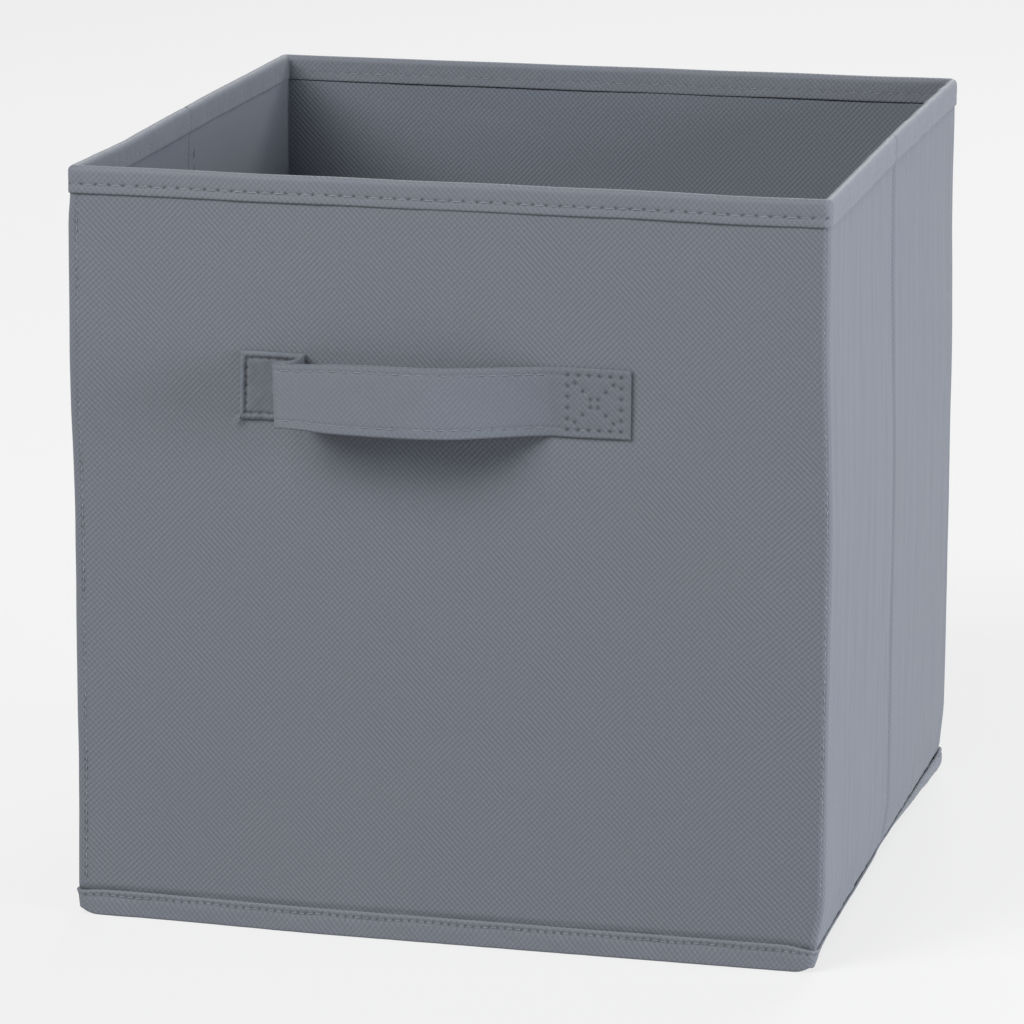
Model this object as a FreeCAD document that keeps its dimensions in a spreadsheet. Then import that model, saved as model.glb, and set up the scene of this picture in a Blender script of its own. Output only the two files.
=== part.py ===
"""A fabric storage bin that folds flat: card-stiffened fabric walls, a loose base board and a strap handle.

Frame: +Z up, origin at the middle of the face that the bin stands on. The handle is on the -Y wall.
Six wall panels stand round the base: a front, a back, and two halves for each side, hinged at the corners
and at a crease in the middle of the side. Each panel is a card between an outer cover and a lining, with a
binding folded over its top edge. Every panel is drawn in a frame of its own: u runs along the panel, v runs
from its outer face inwards, and z is up.
"""
import FreeCAD, Part
import math
import os

from FreeCAD import Placement, Rotation, Vector

DIMENSIONS = {
    "body_width": 276.0,        # between the outer faces of opposite walls
    "body_height": 280.0,       # floor to the top of the rim
    "wall_thickness": 2.6,      # cover, card and lining together
    "cloth": 0.5,               # one layer of non-woven cloth
    "wall_foot": 9.0,           # floor to the lower end of the wall panels
    "corner_gap": 0.5,          # between a side panel's end and the front or back wall
    "crease_gap": 1.0,          # between the two panels of a side
    "card_crease_inset": 5.0,   # a side card stops this far short of the crease, so that the cloth can fold
    "cover_radius": 1.0,        # rounding of a cover's upright edges
    "binding_height": 10.0,     # binding over the rim, inside and outside
    "binding_inset_wall": 3.0,  # inner leg of the front and back binding, short of the panel's end
    "binding_inset_side": 1.0,  # the same on a side panel
    "rim_stitch_drop": 6.8,     # rim top to the stitching
    "thread": 0.4,              # width of a row of stitching
    "thread_rise": 0.3,         # how far a row of stitching stands off the cloth
    "seam_inset": 4.0,          # corner seam from the corner
    "crease_seam_inset": 2.0,   # crease seam from the panel's end
    "band_height": 8.5,         # band round the foot
    "band_thickness": 2.6,
    "band_proud": 1.0,          # how far the band stands out of the walls
    "band_radius": 2.4,
    "band_stitch_height": 6.5,
    "board_width": 258.0,       # loose base board
    "board_foot": 0.8,
    "board_card": 2.0,
    "strap_width": 25.0,
    "strap_thickness": 1.5,
    "strap_middle_height": 203.5,
    "tab_length": 23.5,
    "left_tab_start": -75.4,
    "left_tab_end": -51.9,
    "right_tab_start": 44.6,
    "grip_end": 2.0,            # where the stiff grip passes into the right-hand bend
    "grip_level_end": -11.0,    # where the strap starts to run down to the wall
    "standoff_top": 15.5,       # wall to the middle of the strap, at its upper edge
    "standoff_bottom": 23.0,    # the same at its lower edge
    "fold_bulge": 6.0,          # how far the left bend reaches past the tab's end
    "fold_start": 2.4,          # where the left bend leaves the tab, from the wall
    "joint_gap": 0.3,           # between the grip and its bends
    "tab_stitch_inset": 2.0,    # box stitching from the tab's edge
}

doc = FreeCAD.newDocument("FabricStorageBin")
sheet = doc.addObject("Spreadsheet::Sheet", "Dims")
for row, (alias, value) in enumerate(DIMENSIONS.items(), start=1):
    sheet.set(f"A{row}", alias)
    sheet.set(f"B{row}", str(value))
    sheet.setAlias(f"B{row}", alias)
doc.recompute()

NODES = []   # the sub-parts that are exported, each under its Label


def size(alias):
    """A driving dimension, for pieces whose shape is worked out here."""
    return float(sheet.get(alias))


def bound(words):
    """An expression on the sheet: every alias in words gets the sheet's name before it."""
    return " ".join("Dims." + w if w in DIMENSIONS else w for w in words.split())


def keep(piece, name):
    piece.Label = name
    NODES.append(piece)
    return piece


# ---------------------------------------------------------------- placing and drawing

class Panel:
    """A wall panel's own frame: its corner on the outer face, its turn about Z and its length.

    card_start and card_end say how far its card stops short of the panel's two ends.
    """

    def __init__(self, name, corner_x, corner_y, turn, length, binding_inset, card_start="cloth", card_end="cloth"):
        self.name, self.turn, self.length, self.binding_inset = name, turn, length, binding_inset
        self.card_start, self.card_end = card_start, card_end
        self.corner = (corner_x, corner_y)
        self.cos, self.sin = round(math.cos(math.radians(turn))), round(math.sin(math.radians(turn)))

    def place(self, piece, u="0", v="0", z="0"):
        piece.Placement = Placement(Vector(), Rotation(Vector(0, 0, 1), self.turn))
        along_x = f"{self.corner[0]} + {self.cos} * ( {u} ) - {self.sin} * ( {v} )"
        along_y = f"{self.corner[1]} + {self.sin} * ( {u} ) + {self.cos} * ( {v} )"
        for axis, words in (("x", along_x), ("y", along_y), ("z", z)):
            piece.setExpression(f"Placement.Base.{axis}", bound(words))


def box(name, along, across, height):
    """A plain block, its three sizes bound to the sheet."""
    piece = doc.addObject("Part::Box", name)
    for side, words in (("Length", along), ("Width", across), ("Height", height)):
        piece.setExpression(side, bound(words))
    return piece


def set_at(piece, x, y, z):
    for axis, words in (("x", x), ("y", y), ("z", z)):
        piece.setExpression(f"Placement.Base.{axis}", bound(words))
    return piece


def group(name, pieces):
    """Separate solids under one name."""
    compound = doc.addObject("Part::Compound", name)
    compound.Links = pieces
    return keep(compound, name)


def plane_of(body, role):
    return next(f for f in body.Origin.OriginFeatures if f.Role == role)


def sketch_on(body, name, role, offset="0"):
    sketch = body.newObject("Sketcher::SketchObject", name)
    sketch.AttachmentSupport = (plane_of(body, role), [""])
    sketch.MapMode = "FlatFace"
    sketch.setExpression("AttachmentOffset.Base.z", bound(offset))
    return sketch


def draw_outline(sketch, corners):
    """A closed outline of straight lines. corners are pairs of expressions on the sheet."""
    points = [Vector(*(value_of(words) for words in corner), 0) for corner in corners]
    for start, end in zip(points, points[1:] + points[:1]):
        sketch.addGeometry(Part.LineSegment(start, end), False)
    import Sketcher
    for line in range(len(points)):
        sketch.addConstraint(Sketcher.Constraint("Coincident", line, 2, (line + 1) % len(points), 1))
    for line, corner in enumerate(corners):
        for kind, words, value in zip(("DistanceX", "DistanceY"), corner, points[line]):
            made = sketch.addConstraint(Sketcher.Constraint(kind, -1, 1, line, 1, value))
            sketch.renameConstraint(made, f"{kind}_{line}")
            sketch.setExpression(f"Constraints.{kind}_{line}", bound(words))


def value_of(words):
    """What an expression on the sheet comes to, in millimetres, to start a sketch from."""
    probe = sheet.evalExpression(bound(words))
    return float(getattr(probe, "Value", probe))


def pad(body, name, sketch, length):
    feature = body.newObject("PartDesign::Pad", name)
    feature.Profile = sketch
    feature.setExpression("Length", bound(length))
    sketch.Visibility = False
    return feature


def round_edges(body, name, radius, chosen):
    """Rounds the edges of the body's last feature for which chosen(edge) holds."""
    doc.recompute()
    base = body.Tip
    edges = [f"Edge{i}" for i, edge in enumerate(base.Shape.Edges, start=1) if chosen(edge)]
    feature = body.newObject("PartDesign::Fillet", name)
    feature.Base = (base, edges)
    feature.setExpression("Radius", bound(radius))
    return feature


def is_upright(edge, x_places, y_place):
    """Whether an edge runs up at one of the places along x, on the face at y_place."""
    low, high = edge.BoundBox, edge.BoundBox
    runs_up = abs(low.ZMax - high.ZMin) > 1 and low.XLength < 1e-3 and low.YLength < 1e-3
    return runs_up and abs(low.YMin - y_place) < 1e-3 and any(abs(low.XMin - x) < 1e-3 for x in x_places)


# ---------------------------------------------------------------- wall panels

def cover(panel):
    """The outer cloth: a long face with a short return round each end of the panel."""
    body = doc.addObject("PartDesign::Body", f"{panel.name}_cover")
    outline = sketch_on(body, f"{panel.name}_cover_outline", "XY_Plane")
    inner_end, depth = f"{panel.length} - cloth", "wall_thickness - cloth"
    draw_outline(outline, [
        ("0", "0"), (panel.length, "0"), (panel.length, depth), (inner_end, depth),
        (inner_end, "cloth"), ("cloth", "cloth"), ("cloth", depth), ("0", depth)])
    pad(body, f"{panel.name}_cover_pad", outline, "body_height - cloth - wall_foot")
    far = value_of(panel.length)
    round_edges(body, f"{panel.name}_cover_round", "cover_radius", lambda e: is_upright(e, (0, far), 0))
    panel.place(body, z="wall_foot")
    keep(body, f"{panel.name}_cover")


def card_and_lining(panel):
    card_length = f"{panel.length} - {panel.card_start} - {panel.card_end}"
    card = box(f"{panel.name}_card", card_length, "wall_thickness - 2 * cloth", "body_height - wall_foot - 3 * cloth")
    panel.place(card, panel.card_start, "cloth", "wall_foot + cloth")
    keep(card, f"{panel.name}_card")
    lining = box(f"{panel.name}_lining", panel.length, "cloth", "body_height - cloth - wall_foot")
    panel.place(lining, v="wall_thickness - cloth", z="wall_foot")
    keep(lining, f"{panel.name}_lining")


def rim_binding(panel):
    """The strip over the rim: its outer leg and top run the whole panel, its inner leg stops short."""
    body = doc.addObject("PartDesign::Body", f"{panel.name}_rim_binding")
    outer = sketch_on(body, f"{panel.name}_binding_outline", "YZ_Plane")
    under = "binding_height - cloth"
    draw_outline(outer, [
        ("- cloth", "0"), ("0", "0"), ("0", under),
        ("wall_thickness", under), ("wall_thickness", "binding_height"), ("- cloth", "binding_height")])
    pad(body, f"{panel.name}_binding_pad", outer, panel.length)
    inner = sketch_on(body, f"{panel.name}_binding_leg_outline", "YZ_Plane", panel.binding_inset)
    inner_face = "wall_thickness + cloth"
    draw_outline(inner, [
        ("wall_thickness", "0"), (inner_face, "0"),
        (inner_face, "binding_height"), ("wall_thickness", "binding_height")])
    pad(body, f"{panel.name}_binding_leg", inner, f"{panel.length} - 2 * {panel.binding_inset}")
    panel.place(body, z="body_height - binding_height")
    keep(body, f"{panel.name}_rim_binding")


def rim_thread(panel):
    """The row of stitching through the binding, seen on both of its legs."""
    run = f"{panel.length} - 2 * {panel.binding_inset}"
    rows = []
    for side, v in (("outer", "- cloth - thread_rise"), ("inner", "wall_thickness + cloth")):
        row = box(f"{panel.name}_{side}_stitches", run, "thread_rise", "thread")
        panel.place(row, panel.binding_inset, v, "body_height - rim_stitch_drop")
        rows.append(row)
    group(f"{panel.name}_rim_thread", rows)


def upright_thread(panel, name, places, v):
    """Stitching that runs up the panel at each of the places along it."""
    rows = []
    for number, u in enumerate(places):
        row = box(f"{name}_row_{number}", "thread", "thread_rise", "body_height - wall_foot - binding_height - cloth")
        panel.place(row, u, v, "wall_foot")
        rows.append(row)
    group(name, rows)


def make_walls():
    half = "body_width / 2"
    side_length = "( body_width / 2 - wall_thickness - corner_gap - crease_gap / 2 )"
    panel_end = f"{half} - wall_thickness - corner_gap"
    near_crease = "crease_gap / 2"
    ends_at_crease = {"card_end": "card_crease_inset"}
    starts_at_crease = {"card_start": "card_crease_inset"}
    panels = [
        Panel("front", f"- {half}", f"- {half}", 0, "body_width", "binding_inset_wall"),
        Panel("back", half, half, 180, "body_width", "binding_inset_wall"),
        Panel("left_rear", f"- {half}", panel_end, -90, side_length, "binding_inset_side", **ends_at_crease),
        Panel("left_front", f"- {half}", f"- {near_crease}", -90, side_length, "binding_inset_side", **starts_at_crease),
        Panel("right_front", half, f"- ( {panel_end} )", 90, side_length, "binding_inset_side", **ends_at_crease),
        Panel("right_rear", half, near_crease, 90, side_length, "binding_inset_side", **starts_at_crease),
    ]
    for panel in panels:
        cover(panel)
        card_and_lining(panel)
        rim_binding(panel)
        rim_thread(panel)
    by_name = {panel.name: panel for panel in panels}
    for wall in ("front", "back"):
        places = ("seam_inset", "body_width - seam_inset - thread")
        upright_thread(by_name[wall], f"{wall}_corner_thread", places, "- thread_rise")
    far_end = f"{side_length} - crease_seam_inset - thread"
    upright_thread(by_name["left_rear"], "left_crease_thread", (far_end,), "wall_thickness")
    upright_thread(by_name["right_rear"], "right_crease_thread", ("crease_seam_inset",), "wall_thickness")


# ---------------------------------------------------------------- foot and base board

def make_foot():
    """The bottom cloth and the band round it, which the bin stands on."""
    inner = "( body_width / 2 + band_proud - band_thickness )"
    outer = "( body_width / 2 + band_proud )"
    bottom = box("bottom_sheet", f"2 * {inner}", f"2 * {inner}", "cloth")
    keep(set_at(bottom, f"- {inner}", f"- {inner}", "0"), "bottom_sheet")
    for name, turn in (("front", 0), ("back", 180)):
        body = doc.addObject("PartDesign::Body", f"{name}_bottom_band")
        outline = sketch_on(body, f"{name}_band_outline", "XY_Plane")
        draw_outline(outline, [
            (f"- {outer}", f"- {outer}"), (outer, f"- {outer}"), (outer, f"- {inner}"), (f"- {outer}", f"- {inner}")])
        pad(body, f"{name}_band_pad", outline, "band_height")
        reach = value_of(outer)
        round_edges(body, f"{name}_band_round", "band_radius", lambda e: is_upright(e, (-reach, reach), -reach))
        body.Placement = Placement(Vector(), Rotation(Vector(0, 0, 1), turn))
        keep(body, f"{name}_bottom_band")
    for name, x in (("left", f"- {outer}"), ("right", inner)):
        band = box(f"{name}_bottom_band", "band_thickness", f"2 * {inner}", "band_height")
        keep(set_at(band, x, f"- {inner}", "0"), f"{name}_bottom_band")
    rows = []
    run = f"2 * ( {outer} - band_radius )"
    for name, place in (("front", f"- {outer} - thread_rise"), ("back", outer)):
        row = box(f"{name}_foot_stitches", run, "thread_rise", "thread")
        rows.append(set_at(row, f"- {outer} + band_radius", place, "band_stitch_height"))
    for name, place in (("left", f"- {outer} - thread_rise"), ("right", outer)):
        row = box(f"{name}_foot_stitches", "thread_rise", run, "thread")
        rows.append(set_at(row, place, f"- {outer} + band_radius", "band_stitch_height"))
    group("bottom_thread", rows)


def board_cover(name, upside_down):
    """One cloth skin of the base board: a shallow tray that takes half of the card's thickness."""
    body = doc.addObject("PartDesign::Body", name)
    edge, depth = "( board_width / 2 )", "( cloth + board_card / 2 )"
    outline = sketch_on(body, f"{name}_outline", "XY_Plane")
    draw_outline(outline, [(f"- {edge}", f"- {edge}"), (edge, f"- {edge}"), (edge, edge), (f"- {edge}", edge)])
    pad(body, f"{name}_pad", outline, depth)
    doc.recompute()
    whole = body.Shape.Volume
    recess = sketch_on(body, f"{name}_recess_outline", "XY_Plane", depth)
    lip = "( board_width / 2 - cloth )"
    draw_outline(recess, [(f"- {lip}", f"- {lip}"), (lip, f"- {lip}"), (lip, lip), (f"- {lip}", lip)])
    pocket = body.newObject("PartDesign::Pocket", f"{name}_recess")
    pocket.Profile = recess
    pocket.setExpression("Length", bound("board_card / 2"))
    recess.Visibility = False
    doc.recompute()
    if not body.Shape.Volume < whole / 2:
        raise RuntimeError(f"{name}: the recess cuts nothing")
    if upside_down:
        body.Placement = Placement(Vector(), Rotation(Vector(1, 0, 0), 180))
        body.setExpression("Placement.Base.z", bound("board_foot + 2 * cloth + board_card"))
    else:
        body.setExpression("Placement.Base.z", bound("board_foot"))
    keep(body, name)


def make_base_board():
    board_cover("base_lower_cover", upside_down=False)
    board_cover("base_upper_cover", upside_down=True)
    width = "( board_width - 2 * cloth )"
    card = box("base_card", width, width, "board_card")
    keep(set_at(card, f"- {width} / 2", f"- {width} / 2", "board_foot + cloth"), "base_card")


# ---------------------------------------------------------------- handle

def make_tabs():
    """The two ends of the strap, sewn flat to the front."""
    low, face = "strap_middle_height - strap_width / 2", "- body_width / 2 - strap_thickness"
    for name, start in (("handle_left_tab", "left_tab_start"), ("handle_right_tab", "right_tab_start")):
        tab = box(name, "tab_length", "strap_thickness", "strap_width")
        keep(set_at(tab, start, face, low), name)


def stitch_run(start, end, face):
    """A straight run of stitching on the plane y = face, from start to end, each (x, z)."""
    wide, rise = size("thread"), size("thread_rise")
    length = math.dist(start, end) + wide
    run = Part.makeBox(length, rise, wide, Vector(-wide / 2, -rise, -wide / 2))
    turn = math.degrees(math.atan2(end[1] - start[1], end[0] - start[0]))
    run.Placement = Placement(Vector(start[0], face, start[1]), Rotation(Vector(0, -1, 0), turn))
    return run


def make_tab_stitching():
    """A box with both diagonals on each tab."""
    inset, middle = size("tab_stitch_inset"), size("strap_middle_height")
    low, high = middle - size("strap_width") / 2 + inset, middle + size("strap_width") / 2 - inset
    face = -size("body_width") / 2 - size("strap_thickness")
    crosses = []
    for start in (size("left_tab_start"), size("right_tab_start")):
        left, right = start + inset, start + size("tab_length") - inset
        corners = [(left, low), (right, low), (right, high), (left, high)]
        runs = [stitch_run(a, b, face) for a, b in zip(corners, corners[1:] + corners[:1])]
        runs += [stitch_run(corners[0], corners[2], face), stitch_run(corners[1], corners[3], face)]
        crosses.append(runs[0].multiFuse(runs[1:]).removeSplitter())
    piece = doc.addObject("Part::Feature", "handle_tab_thread")
    piece.Shape = Part.makeCompound([solid for cross in crosses for solid in cross.Solids])
    keep(piece, "handle_tab_thread")


def ease(share):
    """0 to 1 with a level start and end."""
    return share * share * (3 - 2 * share)


def left_bend_path(standoff):
    """The strap's middle line, as (x, distance from the wall), from the left tab round to the grip: half an ellipse."""
    start, steps = size("fold_start"), 8
    middle, reach = (start + standoff) / 2, (standoff - start) / 2
    turns = [math.pi * i / steps for i in range(steps + 1)]
    return [(size("left_tab_end") - size("fold_bulge") * math.sin(t), middle - reach * math.cos(t)) for t in turns]


def run_down(x, standoff):
    """How far the strap's middle stands from the wall at x: level, then down to the right tab."""
    start, end, seat = size("grip_level_end"), size("right_tab_start"), size("strap_thickness") / 2
    share = min(max((x - start) / (end - start), 0), 1)
    return standoff + (seat - standoff) * ease(share)


def level_path(x_start, x_end, standoff, steps):
    places = [x_start + (x_end - x_start) * i / steps for i in range(steps + 1)]
    return [(x, run_down(x, standoff)) for x in places]


def offset_path(path, distance):
    """The path moved sideways by distance, square to its own direction."""
    moved = []
    for i, point in enumerate(path):
        before, after = path[max(i - 1, 0)], path[min(i + 1, len(path) - 1)]
        along = math.dist(before, after)
        normal = ((before[1] - after[1]) / along, (after[0] - before[0]) / along)
        moved.append((point[0] + distance * normal[0], point[1] + distance * normal[1]))
    return moved


def ribbon_wire(path, low_side, high_side, height):
    points = offset_path(path, low_side) + offset_path(path, high_side)[::-1]
    wall = -size("body_width") / 2
    corners = [Vector(x, wall - standoff, height) for x, standoff in points]
    return Part.makePolygon(corners + corners[:1])


def strap_piece(name, path_maker):
    """A length of strap: its lower edge stands further out than its upper edge."""
    half, middle = size("strap_thickness") / 2, size("strap_middle_height")
    edges = []
    for standoff, height in (("standoff_bottom", middle - size("strap_width") / 2),
                             ("standoff_top", middle + size("strap_width") / 2)):
        edges.append(ribbon_wire(path_maker(size(standoff)), -half, half, height))
    piece = doc.addObject("Part::Feature", name)
    piece.Shape = Part.makeLoft(edges, True, True)
    keep(piece, name)


def make_strap():
    gap, grip_start, grip_end = size("joint_gap"), size("left_tab_end") + size("joint_gap"), size("grip_end")
    bend_start, bend_end = grip_end + gap, size("right_tab_start") - gap
    strap_piece("handle_left_bend", left_bend_path)
    strap_piece("handle_strap", lambda standoff: level_path(grip_start, grip_end, standoff, 6))
    strap_piece("handle_right_bend", lambda standoff: level_path(bend_start, bend_end, standoff, 8))


# ---------------------------------------------------------------- making and writing

make_walls()
make_foot()
make_base_board()
make_tabs()
make_tab_stitching()
make_strap()
doc.recompute()

for item in doc.Objects:
    if {"Invalid", "Error"} & set(item.State):
        raise RuntimeError(f"{item.Label} failed: {item.State}")
for piece in NODES:
    if piece.Shape.isNull() or not piece.Shape.isValid():
        raise RuntimeError(f"{piece.Label} has no valid shape")

os.makedirs("parts", exist_ok=True)
for piece in NODES:
    piece.Shape.exportStep(f"parts/{piece.Label}.step")
print(len(NODES), "sub-parts written")
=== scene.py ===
import math
from collections import Counter

import bpy
from mathutils import Matrix, Vector, noise


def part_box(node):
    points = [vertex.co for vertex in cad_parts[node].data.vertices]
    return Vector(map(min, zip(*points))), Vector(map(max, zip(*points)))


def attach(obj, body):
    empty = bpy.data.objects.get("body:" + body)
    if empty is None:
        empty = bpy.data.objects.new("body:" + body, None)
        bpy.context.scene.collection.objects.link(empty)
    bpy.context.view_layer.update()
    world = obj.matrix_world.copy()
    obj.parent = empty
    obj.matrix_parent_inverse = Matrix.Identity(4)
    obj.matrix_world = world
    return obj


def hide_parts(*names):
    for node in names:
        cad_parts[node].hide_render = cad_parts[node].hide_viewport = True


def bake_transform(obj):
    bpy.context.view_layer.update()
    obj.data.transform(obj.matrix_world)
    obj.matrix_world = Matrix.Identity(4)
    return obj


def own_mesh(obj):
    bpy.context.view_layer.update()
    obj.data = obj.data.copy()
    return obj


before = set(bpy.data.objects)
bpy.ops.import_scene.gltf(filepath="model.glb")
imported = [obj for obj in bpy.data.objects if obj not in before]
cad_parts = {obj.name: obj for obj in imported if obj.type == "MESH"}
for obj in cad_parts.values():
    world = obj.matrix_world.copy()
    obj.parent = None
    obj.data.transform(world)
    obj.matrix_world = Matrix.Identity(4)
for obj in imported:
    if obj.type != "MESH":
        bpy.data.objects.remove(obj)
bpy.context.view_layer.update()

MM = 0.001

# ---- sizes read from the frame

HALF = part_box("front_cover")[1].x  # outer face of a side wall from the middle
SIDE = 2 * HALF  # outer width of a wall
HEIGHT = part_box("front_rim_binding")[1].z
STRIP_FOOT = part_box("front_rim_binding")[0].z  # lower edge of the rim binding
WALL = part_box("front_lining")[1].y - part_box("front_cover")[0].y
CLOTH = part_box("front_lining")[1].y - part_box("front_lining")[0].y
PANEL_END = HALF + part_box("left_front_cover")[0].y  # front face to the end of a side panel
CARD_FOOT, CARD_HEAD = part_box("front_card")[0].z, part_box("front_card")[1].z
CARD = WALL - 2 * CLOTH
CREASE_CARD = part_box("right_rear_card")[0].y  # crease to the end of a side card
BAND_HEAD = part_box("front_bottom_band")[1].z
BAND_PROUD = -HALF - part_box("front_bottom_band")[0].y
BAND_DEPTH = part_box("front_bottom_band")[1].y + HALF
RIM_STITCH = sum(corner.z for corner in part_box("front_rim_thread")) / 2
BAND_STITCH = sum(corner.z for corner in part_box("bottom_thread")) / 2

# ---- sizes of the cloth work

CORNER_RADIUS = 2.6 * MM
INNER_RADIUS = 0.8 * MM
SPLIT = 4.0 * MM  # the covers are divided this far from each corner
SEAM, RIGHT_SEAM = 3.6 * MM, 1.2 * MM  # the covers' seams from the left and right corners
INNER_SEAM = 4.2 * MM  # the lining's seam from the outer corner
INNER_ROW = 8.0 * MM  # the stitching up the inside, from the outer corner
GROOVE = 7.0 * MM  # half the width of the soft groove at a side crease
LINING_GROOVE = 6.0 * MM
STRIP_GROOVE = 5.5 * MM
CREASE_LINE = 1.4 * MM  # a crease is a fold on one side and a ridge on the other
FOLD_DEPTH, RIDGE_HEIGHT = 0.8 * MM, 0.5 * MM
RIM_PULL = {1: 1.0 * MM, 3: 0.0}  # how far each side's crease stands in at the rim
FOOT_PULL = 0.2 * MM  # and at the foot
FOOT_TUCK = 5.5 * MM  # the sides' band turns under by this much
FLARE = 1.0 * MM  # the left side stands out by this much
FLARE_FOOT, FLARE_HEAD = 0.7 * MM, 0.9 * MM  # and more at its foot and below its rim
RIM_DIP = 1.1 * MM  # the left side's rim is lowest towards its front
CARD_CLEAR = 0.42 * MM  # cloth can be drawn in this far, to its card
RIGHT_BULGE = (2.7 * MM, 1.3 * MM)  # the right side stands out, at its front and back
FRONT_STEP = 2.4 * MM  # the front's foot stands forward, towards the right
REAR_LIFT = 1.5 * MM  # the back right corner stands a little higher
STRIP_LIFT, INNER_LIFT = 0.7 * MM, 0.45 * MM  # how far the binding stands off, outside and inside
BAND_RISE = (1.4 * MM, -1.5 * MM, 0.0, 0.0)  # how much taller the bottom band is on each wall
CORNER_LIFT = 1.9 * MM  # the band's corners are rounded underneath
COVER_FOOT, COVER_HEAD = 7.4 * MM, HEIGHT - 3 * MM
LINING_FOOT = 4.3 * MM
LINING_LEVEL = 254.0 * MM  # the lining is plain below this
RIM_TURN = 2.0 * MM  # the binding turns over the rim in this height
RIM_PITCH = 5.0 * MM  # stitch pitches
BAND_PITCH = 3.0 * MM
SEAM_PITCH = 3.4 * MM
INNER_PITCH = 6.0 * MM
SEAM_DIP = 0.4 * MM  # how far a seam draws the cover in
THREAD = 0.22 * MM  # radius of a stitch
RIM_THREAD_DEPTH = {1: -0.20 * MM, -1: -0.24 * MM}  # its middle from the binding, outside and inside
SHEET = 0.35 * MM  # thickness of the bottom's and the base board's cloths


# ---- the shape of the bin

def smooth(share):
    """0 to 1 with a level start and end, held at both ends."""
    share = min(max(share, 0.0), 1.0)
    return share * share * (3 - 2 * share)


def bell(distance, width):
    return math.exp(-(distance / width) ** 2)


def locate(t):
    """The wall (0 front, 1 right, 2 back, 3 left) at a distance t round the bin from its front left
    corner, and how far along it from its middle."""
    turn = math.floor(t / SIDE)
    return turn % 4, t - (turn + 0.5) * SIDE


def plan(t, depth):
    """Where the surface at that depth inside the outer face is, seen from above, and its outward normal."""
    wall, along = locate(t)
    radius = max(CORNER_RADIUS - depth, INNER_RADIUS)
    straight = HALF - depth - radius
    sign = math.copysign(1.0, along)
    bend = max(abs(along) - straight, 0.0) / (depth + radius) * math.pi / 4 * sign
    if bend:
        place = Vector((sign * straight + radius * math.sin(bend), -straight - radius * math.cos(bend)))
    else:
        place = Vector((along, depth - HALF))
    turn = Matrix.Rotation(wall * math.pi / 2, 2)
    return turn @ place, turn @ Vector((math.sin(bend), -math.cos(bend)))


def sway(t, z):
    """How far a side stands in from its flat CAD place."""
    wall, along = locate(t)
    if wall in (0, 2):
        return 0.0
    up = min(max(z / HEIGHT, 0.0), 1.0)
    y = along if wall == 1 else -along
    if y < 0:
        foot = (1 - math.exp(-(y + HALF) / (12 * MM))) * (0.77 + 0.36 * smooth(1 + y / (20 * MM)))
    else:
        foot = 1.13 * (1 - (y / HALF) ** 1.1)
    inward = FOOT_PULL * foot * (1 - up) ** 1.5 + RIM_PULL[wall] * (1 - abs(y) / HALF) * up
    return inward + FOOT_TUCK * foot * max(0.0, 1 - z / BAND_HEAD)


def lean(t, z):
    """How far a whole corner or side is moved from its flat CAD place, seen from above."""
    wall, along = locate(t)
    share = along / HALF
    by_end, by_start = smooth(share * 4 - 3), smooth(-share * 4 - 3)
    up = min(max(z / HEIGHT, 0.0), 1.0)
    left = FLARE + FLARE_FOOT * smooth(1 - z / (60 * MM)) - BAND_PROUD * smooth(2 - z / BAND_HEAD * 1.6)
    left += FLARE_HEAD * smooth((z - 150 * MM) / (60 * MM)) * smooth((272 * MM - z) / (14 * MM))
    left *= (by_start, 0.0, 0.35 * by_end, 0.35 + 0.65 * smooth((share + 0.6) / 1.6))[wall]
    front, rear = RIGHT_BULGE
    right = (front * by_end, (front + rear - (front - rear) * share) / 2, rear * by_start, 0.0)[wall]
    right *= smooth((z - 6 * MM) / (22 * MM)) * smooth((245 * MM - z) / (95 * MM))
    right -= BAND_PROUD * smooth(1 - z / BAND_HEAD) * (by_end, (1 - share) / 2, 0.0, 0.0)[wall]
    forward = (smooth((along + HALF - 20 * MM) / (80 * MM)), by_start, 0.0, 0.0)[wall] * (1 - up) ** 2
    return Vector((right - left, -FRONT_STEP * forward))


def band_rise(t, z):
    """How much higher a point of the bottom band is, as it isn't equally tall all round."""
    wall, along = locate(t)
    start, end = BAND_RISE[(wall - 1) % 4], BAND_RISE[(wall + 1) % 4]
    own, reach = BAND_RISE[wall], 12 * MM
    near_start, near_end = smooth(1 - (along + HALF) / reach) / 2, smooth(1 - (HALF - along) / reach) / 2
    rise = own + (start - own) * near_start + (end - own) * near_end
    return rise * smooth(z / BAND_HEAD * 1.6 - 0.6)


def rim_wave(t):
    """The rim isn't quite level, and its right side has small kinks towards the back."""
    wall, along = locate(t)
    wave = 0.45 * MM * noise.noise(Vector((t / (45 * MM), 3.1, 0)))
    if wall == 1:
        wave += 0.9 * MM * smooth(along / HALF * 2) * noise.noise(Vector((t / (13 * MM), 8.3, 0)))
    if wall == 3:
        wave -= RIM_DIP * bell(along - HALF / 2, 55 * MM)
    place, _ = plan(t, 0.0)
    return wave + REAR_LIFT * smooth((place.y + HALF) / SIDE) * (0.65 + 0.35 * place.x / HALF)


def at(t, depth, z):
    """A point of the bin: t round it, depth inside its outer face, z up."""
    place, normal = plan(t, depth)
    place = place - normal * sway(t, z)
    place = place + lean(t, z)
    raised = CORNER_LIFT * bell(HALF - abs(locate(t)[1]), 3.6 * MM) * smooth(1 - z / (6 * MM))
    return Vector((place.x, place.y, z + rim_wave(t) * smooth(z / HEIGHT * 6 - 5) + raised))


def outward(t, depth):
    return plan(t, depth)[1].to_3d()


def steps(start, end, pitch):
    """Evenly spaced values from start to end, about pitch apart."""
    count = max(1, math.ceil((end - start) / pitch - 1e-6))
    return [start + (end - start) * i / count for i in range(count + 1)]


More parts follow.
